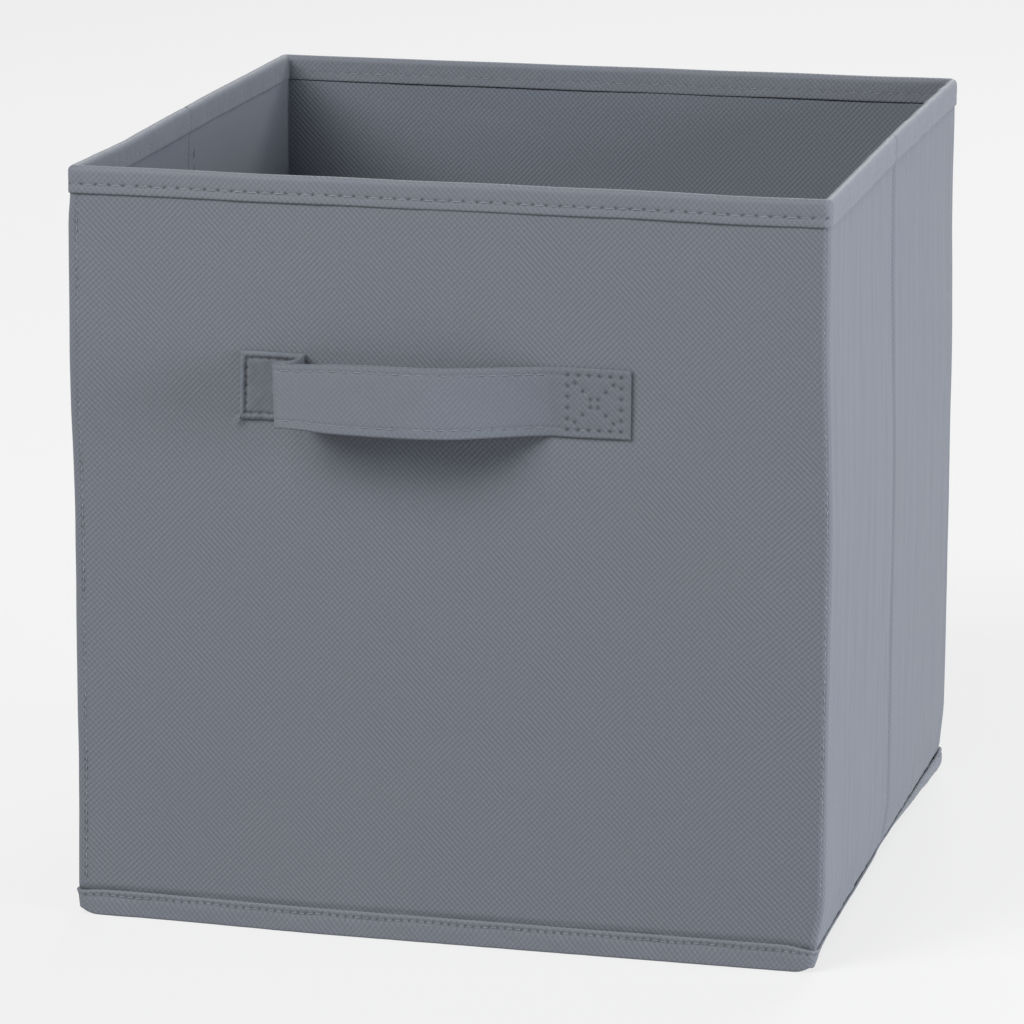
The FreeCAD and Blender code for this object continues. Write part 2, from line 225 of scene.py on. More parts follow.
def graded(*places, pitches):
    """Values through the places, about each pitch apart between a place and the next."""
    values = [places[0]]
    for low, high, pitch in zip(places, places[1:], pitches):
        values += steps(low, high, pitch)[1:]
    return values


def unevenness(point, size, seed=0.0):
    """Soft noise from -1 to 1 over the cloth."""
    return noise.noise(point / size + Vector((seed, seed * 0.7, -seed)))


# ---- making meshes

def mesh_object(name, vertices, faces, flat=None, marks=None):
    """A smooth-shaded mesh. flat gives each vertex's place on the cut cloth, marks how much painted shade it
    gets at a needle hole, a stitch groove or a gap.
    """
    mesh = bpy.data.meshes.new(name)
    mesh.from_pydata([tuple(v) for v in vertices], [], faces)
    if flat:
        layer = mesh.uv_layers.new(name="cloth")
        for loop in mesh.loops:
            layer.data[loop.index].uv = flat[loop.vertex_index]
    if marks:
        mesh.attributes.new("hole_shade", "FLOAT", "POINT").data.foreach_set("value", marks)
    mesh.polygons.foreach_set("use_smooth", [True] * len(mesh.polygons))
    mesh.update()
    piece = bpy.data.objects.new(name, mesh)
    bpy.context.scene.collection.objects.link(piece)
    return piece


def grid_faces(columns, rows, closed=False):
    """Quads of a grid whose vertices run column by column. closed joins the last row to the first."""
    faces = []
    for c in range(columns - 1):
        for r in range(rows if closed else rows - 1):
            a, b = c * rows + r, c * rows + (r + 1) % rows
            faces.append((a, a + rows, b + rows, b))
    return faces


def thicken(piece, thickness, offset):
    """Gives a sheet its thickness, with a sharp border, so that its cut edge doesn't shade the face."""
    uses = Counter(key for face in piece.data.polygons for key in face.edge_keys)
    for edge in piece.data.edges:
        edge.use_edge_sharp = uses[edge.key] == 1
    solid = piece.modifiers.new("thickness", "SOLIDIFY")
    solid.thickness, solid.offset = thickness, offset
    return piece


def cloth(name, places, profile, relief=None, holes=None, rise=None, thickness=CLOTH, offset=-1, ring=False):
    """Cloth over the walls: its section, as (depth, z), is carried round the bin through places.
    relief moves it inwards, rise moves it up, and holes gives the painted shade of needle holes and gaps."""
    lengths = [0.0]
    for before, after in zip(profile, profile[1:]):
        lengths.append(lengths[-1] + math.dist(before, after))
    vertices, flat, marks = [], [], []
    for t in places:
        for (depth, z), across in zip(profile, lengths):
            point = at(t, depth, z + (rise(t, z) if rise else 0.0))
            if relief:
                point -= outward(t, depth) * relief(t, depth, z, point)
            vertices.append(point)
            flat.append((t, across))
            marks.append(holes(t, depth, z) if holes else 0.0)
    faces = grid_faces(len(places), len(profile))
    if ring:
        rows, last = len(profile), (len(places) - 1) * len(profile)
        faces += [(last + r, r, r + 1, last + r + 1) for r in range(rows - 1)]
    piece = mesh_object(name, vertices, faces, flat, marks)
    return thicken(piece, thickness, offset)


def tube(path, radius, sides=6):
    """Vertices and faces of a thread along a list of points, thinner at its ends."""
    vertices = []
    for i, point in enumerate(path):
        along = (path[min(i + 1, len(path) - 1)] - path[max(i - 1, 0)]).normalized()
        side = along.orthogonal().normalized()
        other = along.cross(side)
        width = radius * (0.4 if i in (0, len(path) - 1) else 1.0)
        for k in range(sides):
            turn = 2 * math.pi * k / sides
            vertices.append(point + (side * math.cos(turn) + other * math.sin(turn)) * width)
    faces = [face[::-1] for face in grid_faces(len(path), sides, closed=True)]
    last = (len(path) - 1) * sides
    faces += [tuple(range(sides))[::-1], tuple(last + k for k in range(sides))]
    return vertices, faces


def gather(name, parts):
    """Several (vertices, faces) as one object."""
    vertices, faces = [], []
    for some, some_faces in parts:
        faces += [tuple(v + len(vertices) for v in face) for face in some_faces]
        vertices += some
    return mesh_object(name, vertices, faces)


def stitch_run(holes, lift, radius=THREAD):
    """Thread from each needle hole to the next; holes are points on the cloth with their normals."""
    arch = ((0.14, -1.8), (0.26, 0.0), (0.5, 0.5), (0.74, 0.0), (0.86, -1.8))
    parts = []
    for (start, up), (end, _) in zip(holes, holes[1:]):
        path = [start.lerp(end, share) + up * (lift + radius * height) for share, height in arch]
        parts.append(tube(path, radius))
    return parts


# ---- materials

class Recipe:
    """A material, and short calls that add nodes to it."""

    def __init__(self, name):
        self.material = bpy.data.materials.new(name)
        self.material.use_nodes = True
        self.nodes = self.material.node_tree.nodes
        self.links = self.material.node_tree.links
        self.shader = self.nodes["Principled BSDF"]

    def give(self, node, inputs):
        """Sets a node's inputs, by name or number, to numbers, colours or other nodes' outputs."""
        for key, value in inputs.items():
            if isinstance(value, bpy.types.NodeSocket):
                self.links.new(value, node.inputs[key])
            else:
                node.inputs[key].default_value = (*value, 1.0) if isinstance(value, tuple) else value

    def add(self, kind, inputs=None, **settings):
        node = self.nodes.new("ShaderNode" + kind)
        for name, value in settings.items():
            setattr(node, name, value)
        self.give(node, inputs or {})
        return node

    def maths(self, operation, *values):
        return self.add("Math", dict(enumerate(values)), operation=operation).outputs[0]

    def place(self):
        return self.add("TexCoord").outputs["Object"]

    def noise(self, scale, detail=3.0, roughness=0.55):
        inputs = {"Vector": self.place(), "Scale": scale, "Detail": detail, "Roughness": roughness}
        return self.add("TexNoise", inputs).outputs["Fac"]

    def ranged(self, value, low, high, to_low, to_high, kind="LINEAR"):
        inputs = {"Value": value, "From Min": low, "From Max": high, "To Min": to_low, "To Max": to_high}
        return self.add("MapRange", inputs, interpolation_type=kind).outputs["Result"]

    def mixed(self, share, first, second):
        """A colour between two, each a colour or an output."""
        return self.add("Mix", {"Factor": share, 6: first, 7: second}, data_type="RGBA").outputs[2]

    def finish(self, colour, roughness, height, strength, distance):
        """Gives the surface its colour, roughness and bump."""
        bump = self.add("Bump", {"Height": height, "Strength": strength, "Distance": distance})
        normal = bump.outputs["Normal"]
        self.give(self.shader, {"Base Color": colour, "Roughness": roughness, "Normal": normal})
        return self.material


def tinted(colour, *factors):
    """A colour times one factor, or times one for each of its three parts."""
    return tuple(part * factor for part, factor in zip(colour, factors * (3 // len(factors))))


DOT_ACROSS = 1.05 * MM  # half the distance between two embossed dots in a row
DOT_UP = 1.1 * MM  # between two rows, the second staggered
# painted shade: the near-black that needle holes, stitch grooves and the gap behind the bottom band are
# darkened to
PAINTED_SHADE_COLOUR = (0.012, 0.013, 0.015)


def nonwoven(name, colour, depth=1.0):
    """Spunbond cloth: a staggered grid of small fused dots with fine fibres between them."""
    make = Recipe(name)
    flat = make.add("UVMap", uv_map="cloth").outputs["UV"]
    across, upward, _ = make.add("SeparateXYZ", {0: flat}).outputs
    across = make.maths("MULTIPLY", across, math.pi / DOT_ACROSS)
    upward = make.maths("MULTIPLY", upward, math.pi / DOT_UP)
    patches = make.ranged(make.noise(45, 2.0), 0.3, 0.7, 0.28, 0.72)
    rising = make.maths("COSINE", make.maths("ADD", across, upward))
    falling = make.maths("COSINE", make.maths("SUBTRACT", across, upward))
    wave = make.maths("MULTIPLY", rising, patches)
    wave = make.maths("MULTIPLY_ADD", falling, make.maths("SUBTRACT", 1.0, patches), wave)
    dots = make.ranged(wave, -0.75, 0.75, 0.0, 1.0, "SMOOTHSTEP")
    fibres = make.noise(1500, 3.0, 0.7)
    clouds = make.noise(28, 4.0, 0.6)
    tints = make.noise(11, 2.0)
    hole_shade = make.add("Attribute", attribute_name="hole_shade").outputs["Fac"]
    warm, chill = tinted(colour, 1.05, 1.0, 0.985), tinted(colour, 0.97, 1.0, 1.04)
    base = make.mixed(make.ranged(tints, 0.35, 0.65, 0.0, 1.0), warm, chill)
    base = make.mixed(make.ranged(clouds, 0.3, 0.75, 0.0, 0.35), base, tinted(colour, 1.10))
    base = make.mixed(make.ranged(fibres, 0.35, 0.65, 0.0, 0.6), base, tinted(colour, 0.80))
    base = make.mixed(make.maths("MULTIPLY", dots, depth), base, tinted(colour, 0.66))
    # painted shade: near-black is mixed in where the mesh's attribute marks a needle hole, a stitch groove or
    # the gap behind the bottom band
    base = make.mixed(make.maths("MULTIPLY", hole_shade, 0.9), base, PAINTED_SHADE_COLOUR)
    make.give(make.shader, {"Sheen Weight": 0.08, "Sheen Roughness": 0.5, "Specular IOR Level": 0.35})
    height = make.maths("MULTIPLY_ADD", dots, -1.0, make.maths("MULTIPLY", fibres, 0.5))
    return make.finish(base, make.ranged(dots, 0.0, 1.0, 0.86, 0.66), height, 0.45 * depth, 0.16 * MM)


def thread_material(name, colour):
    """Twisted polyester thread."""
    make = Recipe(name)
    inputs = {"Vector": make.place(), "Scale": 900, "Distortion": 1.5}
    twist = make.add("TexWave", inputs, bands_direction="DIAGONAL").outputs["Fac"]
    clouds = make.noise(300, 2.0)
    base = make.mixed(twist, tinted(colour, 0.8), colour)
    base = make.mixed(make.ranged(clouds, 0.35, 0.7, 0.0, 0.4), base, tinted(colour, 0.7))
    return make.finish(base, make.ranged(clouds, 0.3, 0.7, 0.5, 0.7), twist, 0.4, 0.05 * MM)


def card_material(name, colour):
    """Grey board with flecks of fibre."""
    make = Recipe(name)
    flecks = make.noise(900, 4.0, 0.7)
    base = make.mixed(make.ranged(flecks, 0.4, 0.75, 0.0, 0.5), colour, tinted(colour, 0.6))
    base = make.mixed(make.ranged(make.noise(25), 0.3, 0.7, 0.0, 0.3), base, tinted(colour, 1.15))
    return make.finish(base, make.ranged(flecks, 0.2, 0.8, 0.75, 0.92), flecks, 0.3, 0.05 * MM)


MATERIALS = {
    "cover_cloth": nonwoven("cover_cloth", (0.083, 0.091, 0.108)),
    "lining_cloth": nonwoven("lining_cloth", (0.082, 0.092, 0.111)),
    "binding": nonwoven("binding_cloth", (0.087, 0.095, 0.112), 0.8),
    "strap": nonwoven("strap_cloth", (0.071, 0.080, 0.096), 0.8),
    "thread": thread_material("thread", (0.105, 0.113, 0.128)),
    "card": card_material("card", (0.15, 0.135, 0.115)),
}


# ---- what each piece moves with

FRONT, BACK = ("front_wall",), ("back_wall",)
LEFT_REAR, LEFT_FRONT = ("left_rear",), ("left_front",)
RIGHT_REAR, RIGHT_FRONT = ("right_rear",), ("right_front",)
RIGHT_FRONT_CORNER = FRONT + RIGHT_FRONT
RIGHT_CREASE = RIGHT_FRONT + RIGHT_REAR
RIGHT_REAR_CORNER = RIGHT_REAR + BACK
LEFT_REAR_CORNER = BACK + LEFT_REAR
LEFT_CREASE = LEFT_REAR + LEFT_FRONT
GRIP = FRONT + ("handle",)
RIGHT_MIDDLE, LEFT_MIDDLE, END = 1.5 * SIDE, 3.5 * SIDE, 4 * SIDE


def corner_line(number):
    """Two points across corner number (1 front right, 2 back right, 3 back left), where cloth bends."""
    corner = Matrix.Rotation(number * math.pi / 2, 2) @ Vector((-HALF, -HALF))
    direction = Matrix.Rotation((number - 0.5) * math.pi / 2, 2) @ Vector((1, 0))
    start, end = corner - direction * 2.8 * MM, corner + direction * 2.2 * MM
    return (start.x, start.y, 0.0), (end.x, end.y, 0.0)


def crease_line(middle):
    """The same across a side's crease."""
    start, end = (at(middle + step, WALL / 2, HEIGHT / 2) for step in (-1 * MM, 1 * MM))
    return tuple(start), (start.x, end.y, start.z)


LINES = {
    RIGHT_FRONT_CORNER: corner_line(1),
    RIGHT_REAR_CORNER: corner_line(2),
    LEFT_REAR_CORNER: corner_line(3),
    RIGHT_CREASE: crease_line(RIGHT_MIDDLE),
    LEFT_CREASE: crease_line(LEFT_MIDDLE),
    GRIP: ((0, -HALF - 1.6 * MM, 0), (0, -HALF - 12 * MM, 0)),
}


def settle(piece, slot, bodies, replaces=()):
    """Gives a piece the material of its slot and hides the CAD nodes it replaces. A piece of one body is
    parented to that body; a piece of two bodies only has its transform baked.
    """
    piece.data.materials.append(MATERIALS[slot])
    if replaces:
        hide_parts(*replaces)
    if len(bodies) == 2:
        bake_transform(piece)
    else:
        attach(piece, bodies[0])
    return piece


# ---- covers, linings and cards

COVER_SEAMS = (SEAM, SIDE - RIGHT_SEAM, 2 * SIDE + RIGHT_SEAM, 3 * SIDE - SEAM)
LINING_SEAMS = (SIDE - INNER_SEAM, 2 * SIDE + INNER_SEAM, 3 * SIDE - INNER_SEAM)


def seam_dip(t, z):
    """The cover is drawn in along its seams, most at each stitch and at the left corners."""
    near, seam = min((abs(t - seam), seam) for seam in COVER_SEAMS)
    depth = SEAM_DIP if seam in (COVER_SEAMS[0], COVER_SEAMS[3]) else SEAM_DIP / 2
    return depth * bell(near, 0.8 * MM) * (0.75 + 0.25 * math.cos(2 * math.pi * z / SEAM_PITCH))


def crease_shape(t, middle):
    """The soft groove where there is no card behind the cover, with a fold and a ridge in it."""
    away = abs(t - middle)
    if away > GROOVE:
        return 0.0
    side = (t - middle) * (1 if middle == RIGHT_MIDDLE else -1)
    return FOLD_DEPTH * bell(side + CREASE_LINE, 0.9 * MM) - RIDGE_HEIGHT * bell(side - CREASE_LINE, 1.1 * MM)


def cover_relief(t, depth, z, point):
    near_edge = math.exp(-min(STRIP_FOOT - z if z < STRIP_FOOT else 0, z - COVER_FOOT) / (9 * MM))
    wall, along = locate(t)
    streaks = 0.0
    if wall in (1, 3):
        streaks = unevenness(Vector((t, 0, z / 14)), 6 * MM, 6.0)
        streaks += 0.6 * unevenness(Vector((t, 0, z / 9)), 2.6 * MM, 7.0)
    drawn = (seam_dip(t, z)
             - 0.30 * MM * unevenness(point, 60 * MM, 1.0)
             - 0.10 * MM * unevenness(point, 17 * MM, 2.0)
             + 0.16 * MM * near_edge * unevenness(Vector((t, 0, 0)), 7 * MM, 5.0)
             + 0.22 * MM * streaks * smooth((HALF - abs(along)) / (9 * MM)))
    if wall != 3:
        drawn += 0.35 * MM * bell(z - BAND_HEAD - band_rise(t, BAND_HEAD) - 0.5 * MM, 1.1 * MM)
    return min(drawn, CARD_CLEAR) + crease_shape(t, RIGHT_MIDDLE) + crease_shape(t, LEFT_MIDDLE)


def band_gap_shade(t, depth, z):
    """Painted shade in the gap where the cover goes down behind the bottom band, deepest at the left and by
    the front right corner.
    """
    wall, along = locate(t)
    opening = 0.55 + 0.45 * smooth(-along / HALF * 3 - 1.6) if wall == 0 else 0.15
    opening += 0.6 * bell(SIDE - 5 * MM - t, 4 * MM)
    patchy = 0.75 + 0.5 * noise.noise(Vector((t / (9 * MM), 1.7, 0)))
    above = z - BAND_HEAD - band_rise(t, BAND_HEAD)
    return min(1.0, opening * patchy) * bell(above - 0.1 * MM, 0.75 * MM)


def lining_relief(t, depth, z, point):
    slack = smooth(z / HEIGHT * 2.2 - 1.0)
    away = min(abs(t - RIGHT_MIDDLE), abs(t - LEFT_MIDDLE))
    creases = unevenness(Vector((point.x * 0.6 + z * 0.35, point.y * 0.6 - z * 0.35, z * 1.3)), 26 * MM, 8.0)
    slack *= smooth((STRIP_FOOT - z) / (15 * MM))
    return (0.30 * MM * unevenness(point, 55 * MM, 4.0) + 0.45 * MM * slack * max(0.0, creases)
            - 0.35 * MM * bell(away, 0.6 * MM))


def dense(start, end, seams, coarse):
    """Places from start to end, closer together near seams and round the corners."""
    fine_zones = [(seam, 2.4 * MM) for seam in seams] + [(k * SIDE, 5 * MM) for k in range(5)]
    marks = {start, end}
    for middle, reach in fine_zones:
        if start - reach < middle < end + reach:
            marks |= {min(max(middle + step, start), end) for step in (-reach, reach)}
    marks = sorted(marks)
    pitches = []
    for low, high in zip(marks, marks[1:]):
        close = any(abs((low + high) / 2 - middle) < reach for middle, reach in fine_zones)
        pitches.append(0.35 * MM if close else coarse)
    return graded(*marks, pitches=pitches)


PANELS = (("front", FRONT), ("right_front", RIGHT_FRONT_CORNER), ("right_crease", RIGHT_CREASE),
          ("right_rear", RIGHT_REAR_CORNER), ("back", BACK), ("left_rear", LEFT_REAR_CORNER),
          ("left_crease", LEFT_CREASE), ("left_front", LEFT_FRONT))


def clad(layer, crease_name, profile, split, groove, seams, pitches, **shape):
    """Cloth over all the walls, in pieces that meet split from the corners and groove from the creases.
    pitches are the steps along the front and back, the sides and the creases."""
    places = [-PANEL_END, SIDE - split, RIGHT_MIDDLE - groove, RIGHT_MIDDLE + groove, 2 * SIDE + split,
              3 * SIDE - split, LEFT_MIDDLE - groove, LEFT_MIDDLE + groove, END - PANEL_END]
    wide, narrow, finest = pitches
    for (panel, bodies), start, end in zip(PANELS, places, places[1:]):
        name, pitch, nodes = f"{panel}_{layer}_cloth", narrow, [f"{panel}_{layer}"]
        if bodies in (FRONT, BACK):
            pitch = wide
        if bodies in (RIGHT_CREASE, LEFT_CREASE):
            name, pitch, nodes = f"{panel}_{crease_name}", finest, []
        piece = cloth(name, dense(start, end, seams, pitch), profile, **shape)
        settle(piece, f"{layer}_cloth", bodies, nodes)


def make_covers():
    levels = graded(COVER_FOOT, 14 * MM, 262 * MM, COVER_HEAD, pitches=(0.5 * MM, 4 * MM, 1.2 * MM))
    clad("cover", "cloth", [(0.0, z) for z in levels], SPLIT, GROOVE, COVER_SEAMS,
         (4 * MM, 1.5 * MM, 0.5 * MM), relief=cover_relief, holes=band_gap_shade)


def make_linings():
    levels = graded(LINING_FOOT, LINING_LEVEL, COVER_HEAD, pitches=(4 * MM, 1.5 * MM))
    clad("lining", "lining", [(WALL, z) for z in levels], INNER_SEAM, LINING_GROOVE, LINING_SEAMS,
         (4 * MM, 4 * MM, 0.3 * MM), relief=lining_relief, offset=1)


def make_cards():
    profile = [(CLOTH, z) for z in steps(CARD_FOOT, CARD_HEAD, 9 * MM)]
    turned, ended = CLOTH + SPLIT, PANEL_END + CLOTH
    runs = [
        ("front", turned, SIDE - turned, FRONT),
        ("right_front", SIDE + ended, RIGHT_MIDDLE - CREASE_CARD, RIGHT_FRONT),
        ("right_rear", RIGHT_MIDDLE + CREASE_CARD, 2 * SIDE - ended, RIGHT_REAR),
        ("back", 2 * SIDE + turned, 3 * SIDE - turned, BACK),
        ("left_rear", 3 * SIDE + ended, LEFT_MIDDLE - CREASE_CARD, LEFT_REAR),
        ("left_front", LEFT_MIDDLE + CREASE_CARD, END - ended, LEFT_FRONT),
    ]
    for name, start, end, bodies in runs:
        piece = cloth(f"{name}_card_board", steps(start, end, 6 * MM), profile, thickness=CARD)
        settle(piece, "card", bodies, [f"{name}_card"])


# ---- rim binding

def needle(t, z, row, pitch):
    """How near a needle hole of a row of stitching is, from 0 to 1."""
    return bell(math.hypot((t / pitch - round(t / pitch)) * pitch, z - row), 0.52 * MM)


def strip_profile():
    """Section of the rim binding: up the outside, over the rim and down the inside."""
    legs = graded(STRIP_FOOT + 0.5 * MM, RIM_STITCH - 1 * MM, RIM_STITCH + 1 * MM, HEIGHT - RIM_TURN,
                  pitches=(0.8 * MM, 0.25 * MM, 0.9 * MM))
    outer, inner = -STRIP_LIFT, WALL + INNER_LIFT
    middle, reach = (outer + inner) / 2, (inner - outer) / 2
    angles = [math.pi * i / 10 for i in range(1, 10)]
    over = [(middle - reach * math.cos(a), HEIGHT - RIM_TURN + RIM_TURN * math.sin(a)) for a in angles]
    turned = [(outer + 0.6 * MM, STRIP_FOOT + 0.3 * MM), (outer + 0.2 * MM, STRIP_FOOT)]
    inner_turned = [(inner - 0.2 * MM, STRIP_FOOT), (inner - 0.5 * MM, STRIP_FOOT + 0.3 * MM)]
    return turned + [(outer, z) for z in legs] + over + [(inner, z) for z in reversed(legs)] + inner_turned


def row_strength(t, depth):
    """The rim's stitches are drawn tightest on the outside of the front and back."""
    if depth > WALL / 2:
        return 0.2
    return 1.0 if locate(t)[0] in (0, 2) else 0.15


def strip_relief(t, depth, z, point):
    dip = 0.0
    if z <= HEIGHT - RIM_TURN:
        dip = 0.42 * MM * needle(t, z, RIM_STITCH, RIM_PITCH) + 0.14 * MM * bell(z - RIM_STITCH, 1.1 * MM)
        dip *= row_strength(t, depth)
    soft = 0.16 * MM * unevenness(point, 14 * MM, 11.0) + 0.10 * MM * unevenness(point, 5 * MM, 12.0)
    away = min(abs(t - RIGHT_MIDDLE), abs(t - LEFT_MIDDLE))
    notch = 0.5 * MM * bell(away, 1.6 * MM)  # the binding is nicked in where a side folds
    return soft + (-dip - 0.5 * notch if depth > WALL / 2 else dip + notch)


def strip_hole_shade(t, depth, z):
    # painted shade in the needle holes of the rim stitching
    return 0.0 if z > HEIGHT - RIM_TURN else row_strength(t, depth) * needle(t, z, RIM_STITCH, RIM_PITCH)


STRIPS = (("front_right", RIGHT_FRONT_CORNER, ("front", "right_front")),
          ("right_crease", RIGHT_CREASE, ()),
          ("back_right", RIGHT_REAR_CORNER, ("right_rear", "back")),
          ("left_rear", LEFT_REAR_CORNER, LEFT_REAR), ("left_crease", LEFT_CREASE, ()),
          ("left_front", LEFT_FRONT, LEFT_FRONT))


def whole_pitches(start, end, pitch):
    """The places of the needle holes between start and end."""
    first, last = math.ceil(start / pitch + 0.2), math.floor(end / pitch - 0.2)
    return [k * pitch for k in range(first, last + 1)]


def make_binding():
    profile = strip_profile()
    ends = [-PANEL_END, RIGHT_MIDDLE - STRIP_GROOVE, RIGHT_MIDDLE + STRIP_GROOVE, 3 * SIDE - SPLIT,
            LEFT_MIDDLE - STRIP_GROOVE, LEFT_MIDDLE + STRIP_GROOVE, END - PANEL_END]
    for (name, bodies, panels), start, end in zip(STRIPS, ends, ends[1:]):
        stations = steps(start, end, RIM_PITCH / 8)
        piece = cloth(f"{name}_binding_strip", stations, profile, strip_relief, strip_hole_shade)
        settle(piece, "binding", bodies, [f"{panel}_rim_binding" for panel in panels])
        places = whole_pitches(start, end, RIM_PITCH)
        rows = []
        for depth, side in ((-STRIP_LIFT, 1), (WALL + INNER_LIFT, -1)):
            holes = [(at(t, depth, RIM_STITCH), outward(t, depth) * side) for t in places]
            rows += stitch_run(holes, RIM_THREAD_DEPTH[side])
        if rows:
            stitches = gather(f"{name}_rim_stitches", rows)
            settle(stitches, "thread", bodies, [f"{panel}_rim_thread" for panel in panels])


# ---- seams in the walls

def upright_stitches(t, depth, side, low, high, pitch, lift):
    """Stitching up a wall, on its outer (side 1) or inner (side -1) face."""
    out = outward(t, depth) * side
    return stitch_run([(at(t, depth, z), out) for z in whole_pitches(low, high, pitch)], lift)


def make_seams():
    top = STRIP_FOOT - 1 * MM
    foot = BAND_HEAD + BAND_RISE[0]
    front_left, front_right, back_right, back_left = COVER_SEAMS
    corners = [("front_left", front_left, FRONT, ["front_corner_thread"]),
               ("front_right", front_right, RIGHT_FRONT_CORNER, []),
               ("back_right", back_right, RIGHT_REAR_CORNER, []),
               ("back_left", back_left, BACK, ["back_corner_thread"])]
    for corner, t, bodies, nodes in corners:
        rows = upright_stitches(t, 0.2 * MM, 1, foot, top, SEAM_PITCH, -0.05 * MM)
        settle(gather(f"{corner}_corner_stitches", rows), "thread", bodies, nodes)
    beside = LINING_GROOVE + 1 * MM
    inner = [("left_crease", LEFT_MIDDLE - beside, LEFT_REAR, ["left_crease_thread"]),
             ("right_crease", RIGHT_MIDDLE + beside, RIGHT_REAR, ["right_crease_thread"]),
             ("back_left_inner", 3 * SIDE + INNER_ROW, LEFT_REAR, []),
             ("back_right_inner", 2 * SIDE - INNER_ROW, RIGHT_REAR, []),
             ("front_right_inner", SIDE + INNER_ROW, RIGHT_FRONT, [])]
    for name, t, bodies, nodes in inner:
        rows = upright_stitches(t, WALL, -1, BAND_HEAD, top, INNER_PITCH, 0.05 * MM)
        settle(gather(f"{name}_stitches", rows), "thread", bodies, nodes)


# ---- foot


def band_profile():
    """Section of the bottom band: from under the foot, round its edge and up the wall."""
    outer, roll = -BAND_PROUD, 1.0 * MM
    under = [(BAND_DEPTH, 0.0), (BAND_DEPTH / 2, 0.0)]
    turn = [(outer + roll * (1 - math.sin(a)), roll * (1 - math.cos(a)))
            for a in steps(0.0, math.pi / 2, math.pi / 12)]
    face = graded(roll, BAND_STITCH - 1 * MM, BAND_STITCH + 1 * MM, pitches=(0.8 * MM, 0.25 * MM))
    top = [(outer + 0.1 * MM, BAND_HEAD - 0.25 * MM), (outer + 0.45 * MM, BAND_HEAD)]
    return under + turn + [(outer, z) for z in face[1:]] + top + [(0.25 * MM, BAND_HEAD - 0.2 * MM)]


def band_row(t):
    """Height of the band's stitches, which aren't quite even."""
    return BAND_STITCH + 0.35 * MM * noise.noise(Vector((t / (11 * MM), 7.7, 0)))


def band_relief(t, depth, z, point):
    if z < 1e-6:
        return 0.0
    row = band_row(t)
    return (0.30 * MM * needle(t, z, row, BAND_PITCH) + 0.18 * MM * bell(z - row, 0.9 * MM)
            + 0.22 * MM * unevenness(point, 13 * MM, 21.0) + 0.12 * MM * unevenness(point, 4.5 * MM, 22.0))


def band_hole_shade(t, depth, z):
    # painted shade in the needle holes of the band's stitching
    return 0.7 * needle(t, z, band_row(t), BAND_PITCH)


def bottom_mesh():
    """The bottom cloth, spanned between the band's four sides, and how wide it is."""
    depth = BAND_DEPTH - 1.2 * MM
    shares = steps(0.0, 1.0, 1 / 30)
    sides = [[at((wall + share) * SIDE, depth, 0.0) for share in shares] for wall in range(4)]
    front, right, back, left = sides[0], sides[1], sides[2][::-1], sides[3][::-1]
    vertices, flat = [], []
    for i, u in enumerate(shares):
        for j, v in enumerate(shares):
            across = left[j].lerp(right[j], u)
            along = front[i].lerp(back[i], v)
            corners = front[0].lerp(front[-1], u).lerp(back[0].lerp(back[-1], u), v)
            swell = 0.1 * MM * (1 + unevenness(Vector((u, v, 0)), 0.15, 31.0))
            place = across + along - corners
            vertices.append(Vector((place.x, place.y, max(place.z, 0.0) + SHEET + swell)))
            flat.append((u * SIDE, v * SIDE))
    return mesh_object("bottom_cloth", vertices, grid_faces(len(shares), len(shares)), flat), SIDE - 2 * depth


def make_foot():
    places = steps(0.0, END, BAND_PITCH / 5)[:-1]
    band = cloth("bottom_band_strip", places, band_profile(), band_relief, band_hole_shade, band_rise, ring=True)
    sides = ("front", "back", "left", "right")
    settle(band, "binding", BACK, [f"{side}_bottom_band" for side in sides])
    holes = []
    for t in whole_pitches(0, END, BAND_PITCH):
        out, row = outward(t, -BAND_PROUD), band_row(t)
        holes.append((at(t, -BAND_PROUD, row + band_rise(t, row)) - out * 0.14 * MM, out))
    rows = gather("bottom_band_stitches", stitch_run(holes, 0.0, 0.18 * MM))
    settle(rows, "thread", BACK, ["bottom_thread"])

    sheet, width = bottom_mesh()
    thicken(sheet, SHEET, 0)
    settle(sheet, "cover_cloth", BACK, ["bottom_sheet"])
    for piece in (band, rows, sheet):
        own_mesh(piece)


# ---- base board

def board_skin(name, reach, level, down, node):
    """Cloth over one face of the base board, its edge turned down (or up) round the card."""
    lip, radius = abs(down), 0.7 * MM
    flat_end = reach - 4 * MM
    places = graded(-reach - lip, -reach, -flat_end, flat_end, reach, reach + lip,
                    pitches=(lip / 2, 1 * MM, 7 * MM, 1 * MM, lip / 2))
    vertices, flat = [], []
    for a in places:
        for b in places:
            out = max(abs(a), abs(b))
            fall = out - reach + radius
            if out <= reach:
                bend = min(max(out - reach + radius, 0.0) / radius, 1.0) * math.pi / 2
                fall = radius * (1 - math.cos(bend))
            x, y = (min(max(v, -reach), reach) for v in (a, b))
            inner = smooth((reach - max(abs(x), abs(y))) / (9 * MM))
            swell = 0.12 * MM * unevenness(Vector((x, y, 0)), 38 * MM, 41.0) * inner
            vertices.append(Vector((x, y, level + math.copysign(min(fall, lip), down) + swell)))
            flat.append((a, b))
    piece = mesh_object(name, vertices, grid_faces(len(places), len(places)), flat)
    thicken(piece, SHEET, 1 if down > 0 else -1)
    settle(piece, "lining_cloth", ("base_board",), [node])


def make_board():
    low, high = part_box("base_lower_cover")[0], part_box("base_upper_cover")[1]
    deep = (high.z - low.z) / 2
    board_skin("base_upper_cloth", high.x, high.z, -deep, "base_upper_cover")
    board_skin("base_lower_cloth", high.x, low.z, deep, "base_lower_cover")
    low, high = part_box("base_card")
    places = steps(low.x, high.x, 20 * MM)
    vertices = [Vector((x, y, low.z)) for x in places for y in places]
    card = mesh_object("base_card_board", vertices, grid_faces(len(places), len(places)))
    settle(thicken(card, high.z - low.z, 1), "card", ("base_board",), ["base_card"])


# ---- handle

